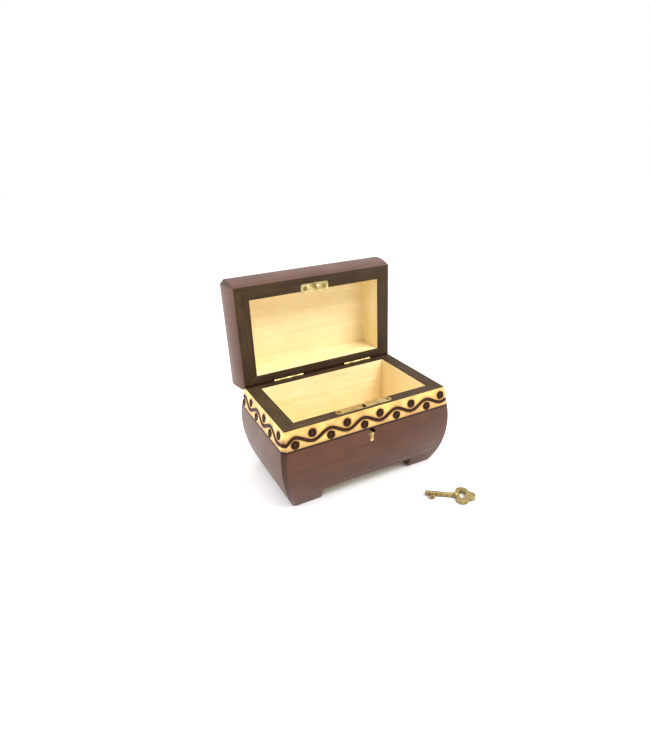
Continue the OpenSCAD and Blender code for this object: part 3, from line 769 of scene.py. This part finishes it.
def tail_cutter(sizes):
    """A short tapering stroke at the upper right of each dot, where the iron is drawn away."""
    parts = []
    for wall, run, fraction in dot_places(sizes):
        aslant = Matrix.Rotation(TAIL_ANGLE, 3, "Z") @ Matrix.Rotation(math.pi / 2, 3, "Y")
        turn = wall_turn(wall) @ aslant
        reach = turn @ Vector((0, 0, TAIL_REACH))
        bpy.ops.mesh.primitive_cone_add(
            vertices=10, radius1=TAIL_THICK, radius2=TAIL_THIN, depth=TAIL_LONG,
            location=wall_point(wall, run, fraction, TAIL_RISE) + reach, rotation=turn.to_euler())
        parts.append(bpy.context.active_object)
    return joined(parts, "tail_cutter")


def pin_hole_cutter():
    """A fine hole near the front of the lid's left rim, where a panel pin was pulled."""
    opened = CLOSED.inverted()
    bpy.ops.mesh.primitive_cylinder_add(
        vertices=12, radius=PIN_HOLE_RADIUS, depth=3 * MM, rotation=opened.to_euler(),
        location=opened @ Vector((*PIN_HOLE, LID_RIM_Z)))
    bpy.ops.object.transform_apply(location=True, rotation=True, scale=True)
    give(bpy.context.active_object, "burnt")
    return bpy.context.active_object


def joined(parts, name):
    bpy.ops.object.select_all(action="DESELECT")
    for part in parts:
        part.select_set(True)
    bpy.context.view_layer.objects.active = parts[0]
    bpy.ops.object.join()
    parts[0].name = name
    bpy.ops.object.transform_apply(location=True, rotation=True, scale=True)
    return parts[0]


def carve(piece, cutter):
    modify(piece, "BOOLEAN", object=cutter, operation="DIFFERENCE", solver="EXACT",
           material_mode="TRANSFER")


# ---------------------------------------------------------------- operators


class CasketWalls(Operator):
    """Builds the four case walls, with the vine and the dots carved into their band"""

    bl_idname = "casket.walls"
    bl_label = "Case walls"

    def execute(self, context):
        sizes = context.scene.casket_sizes
        cutters = [vine_cutter(sizes), dot_cutter(sizes), tail_cutter(sizes)]
        for cutter in cutters:
            give(cutter, "burnt")
        for side, way in (("front", "long"), ("back", "long"), ("left", "cross"), ("right", "cross")):
            piece = clone(side + "_board", side + "_wall")
            give_woods(piece, "case", way)
            soften(piece, sizes.edge, TO_CASE, case_stays_sharp, ARRIS)
            paint(piece, TO_CASE, case_rule)
            for cutter in cutters:
                carve(piece, cutter)
            smooth(piece)
            settle(piece, "case", side + "_board")
        for cutter in cutters:
            bpy.data.objects.remove(cutter)
        return {"FINISHED"}


class CasketFeet(Operator):
    """Builds the two foot rails"""

    bl_idname = "casket.feet"
    bl_label = "Foot rails"

    def execute(self, context):
        for side in ("left", "right"):
            piece = clone(side + "_foot_rail", side + "_foot")
            give_woods(piece, "case", "cross")
            soften(piece, context.scene.casket_sizes.edge, TO_CASE, slot=ARRIS)
            paint(piece, TO_CASE, foot_rule)
            smooth(piece)
            settle(piece, "case", side + "_foot_rail")
        return {"FINISHED"}


class CasketBase(Operator):
    """Gives the base panel its bare wood"""

    bl_idname = "casket.base"
    bl_label = "Base panel"

    def execute(self, context):
        piece = clone("base_panel", "base_board")
        give(piece, "bare_case_long")
        soften(piece, context.scene.casket_sizes.metal_edge, TO_CASE)
        smooth(piece)
        settle(piece, "case", "base_panel")
        return {"FINISHED"}


class CasketLid(Operator):
    """Builds the lid's four walls and its top board"""

    bl_idname = "casket.lid"
    bl_label = "Lid"

    def execute(self, context):
        sizes = context.scene.casket_sizes
        for node, name, way in (("lid_front_board", "lid_front_wall", "long"),
                                ("lid_back_board", "lid_back_wall", "long"),
                                ("lid_left_board", "lid_left_wall", "cross"),
                                ("lid_right_board", "lid_right_wall", "cross"),
                                ("lid_top_board", "lid_top", "long")):
            piece = clone(node, name)
            give_woods(piece, "lid", way)
            soften(piece, sizes.edge, CLOSED, lid_stays_sharp, ARRIS)
            paint(piece, CLOSED, lid_rule)
            if name == "lid_left_wall":
                drill = pin_hole_cutter()
                carve(piece, drill)
                bpy.data.objects.remove(drill)
            smooth(piece)
            settle(piece, "lid", node)
        return {"FINISHED"}


class CasketFittings(Operator):
    """Finishes the hinges, the lock and the link plate"""

    bl_idname = "casket.fittings"
    bl_label = "Hinges and lock"

    def execute(self, context):
        sizes = context.scene.casket_sizes
        for node, name, body, look in (("lock_plate", "lock_face", "case", "brass"),
                                       ("link_plate", "link_face", "lid", "link"),
                                       ("link_staple", "staple", "lid", "link")):
            piece = clone(node, name)
            give(piece, look)
            soften(piece, sizes.metal_edge, TO_CASE)
            smooth(piece)
            settle(piece, body, node)
        # These keep their CAD shape.
        looks = {"left_hinge_case_leaf": "brass", "right_hinge_case_leaf": "brass",
                 "left_hinge_lid_leaf": "antique", "right_hinge_lid_leaf": "antique",
                 "left_hinge_pin": "steel", "right_hinge_pin": "steel", "lock_cap": "link",
                 "lock_bolt": "brass", "lock_spring": "steel", "lock_drill_pin": "steel",
                 "lock_screws": "screw", "link_screws": "screw"}
        for node, look in looks.items():
            mesh = frame["nodes"][node].data
            mesh.materials.clear()
            mesh.materials.append(finishes()[look])
        return {"FINISHED"}


class CasketKey(Operator):
    """Builds the loose key"""

    bl_idname = "casket.key"
    bl_label = "Key"

    def execute(self, context):
        piece = clone("key", "loose_key")
        give(piece, "antique")
        soften(piece, context.scene.casket_sizes.key_edge, TO_CASE)
        smooth(piece, 40)
        settle(piece, "key", "key")
        return {"FINISHED"}


class CasketStage(Operator):
    """Lays the floor, and sets the lamps, the sky and the camera"""

    bl_idname = "casket.stage"
    bl_label = "Stage"

    def execute(self, context):
        self.lay_floor(context)
        self.light(context)
        self.set_camera(context)
        return {"FINISHED"}

    def lay_floor(self, context):
        bpy.ops.mesh.primitive_plane_add(size=context.scene.casket_sizes.floor)
        floor = context.active_object
        floor.name = "floor"
        material, tree = blank("Matt white paper")
        fibre = add(tree, "TexNoise", {"Vector": add(tree, "TexCoord").outputs["Object"],
                                       "Scale": 1 / (2 * MM), "Detail": 2.0}).outputs[0]
        # White paper: no gloss, and a faint fibre, drawn 2 mm wide because the real one is too fine.
        rough = add(tree, "MapRange", {"Value": fibre, "To Min": 0.85, "To Max": 0.95}).outputs[0]
        finish(material, tree, context.scene.casket_colours.floor, rough, fibre, 0.01 * MM)
        floor.data.materials.append(material)

    def light(self, context):
        context.scene.view_settings.view_transform = "Standard"
        world = bpy.data.worlds.new("White tent")
        world.use_nodes = True
        tree = world.node_tree
        tree.nodes.clear()
        # A white tent: full on the backdrop, brighter overhead, and dimmer from the camera's side.
        way = add(tree, "SeparateXYZ", {0: add(tree, "TexCoord").outputs["Generated"]}).outputs
        ahead = add(tree, "MapRange", {"Value": way[1], "From Min": -0.8, "From Max": 0.5, "To Min": 0.4,
                                       "To Max": 1.0}).outputs[0]
        above = add(tree, "MapRange", {"Value": way[2], "From Min": 0.3, "From Max": 0.9, "To Min": 0.0,
                                       "To Max": 1.1}).outputs[0]
        strength = add(tree, "Math", {0: ahead, 1: above}, operation="ADD").outputs[0]
        sky = add(tree, "Background", {"Color": linear("#ffffff"), "Strength": strength})
        add(tree, "OutputWorld", {"Surface": sky.outputs[0]})
        context.scene.world = world
        for name, energy, size, spot in (("Key lamp", 15.0, 0.7, (0.5, -0.75, 1.15)),
                                         ("Side lamp", 4.5, 0.6, (-0.8, 0.45, 0.4))):
            bpy.ops.object.light_add(type="AREA", location=spot)
            lamp = context.active_object
            lamp.name = name
            lamp.data.energy = energy
            lamp.data.size = size
            aim = Vector((0, CASE_Y, LAMP_AIM_Z)) - Vector(spot)
            lamp.rotation_euler = aim.to_track_quat("-Z", "Y").to_euler()

    def set_camera(self, context):
        around, above, roll = (math.radians(a) for a in (CAMERA_AROUND, CAMERA_ABOVE, CAMERA_ROLL))
        back = Vector((math.sin(around) * math.cos(above),
                       -math.cos(around) * math.cos(above),
                       math.sin(above)))
        level = (-back).cross(Vector((0, 0, 1))).normalized()
        upright = level.cross(-back)
        right = level * math.cos(roll) + upright * math.sin(roll)
        up = upright * math.cos(roll) - level * math.sin(roll)
        reach = CAMERA_BACK * back + CAMERA_RIGHT * right + CAMERA_UP * up
        spot = Vector((0, CASE_Y, RIM_Z)) + 2 * HALF_W * reach
        bpy.ops.object.camera_add(location=spot)
        camera = context.active_object
        camera.matrix_world = Matrix.Translation(spot) @ Matrix((right, up, back)).transposed().to_4x4()
        camera.data.sensor_width = SENSOR_WIDTH
        camera.data.lens = CAMERA_LENS
        camera.data.clip_start = 0.01
        context.scene.camera = camera


class CasketPanel(Panel):
    bl_idname = "VIEW3D_PT_casket"
    bl_label = "Casket"
    bl_space_type = "VIEW_3D"
    bl_region_type = "UI"
    bl_category = "Casket"

    def draw(self, context):
        for group in (context.scene.casket_sizes, context.scene.casket_colours):
            box = self.layout.box()
            for name in group.__annotations__:
                box.prop(group, name)
        for operator in OPERATORS:
            self.layout.operator(operator.bl_idname)


OPERATORS = (CasketStage, CasketWalls, CasketFeet, CasketBase, CasketLid, CasketFittings, CasketKey)
CLASSES = (CasketSizes, CasketColours, *OPERATORS, CasketPanel)


def register():
    for cls in CLASSES:
        bpy.utils.register_class(cls)
    bpy.types.Scene.casket_sizes = PointerProperty(type=CasketSizes)
    bpy.types.Scene.casket_colours = PointerProperty(type=CasketColours)


def unregister():
    del bpy.types.Scene.casket_sizes
    del bpy.types.Scene.casket_colours
    for cls in reversed(CLASSES):
        bpy.utils.unregister_class(cls)


def main():
    register()
    bpy.ops.casket.stage()
    bpy.ops.casket.walls()
    bpy.ops.casket.feet()
    bpy.ops.casket.base()
    bpy.ops.casket.lid()
    bpy.ops.casket.fittings()
    bpy.ops.casket.key()


if __name__ == "__main__":
    main()
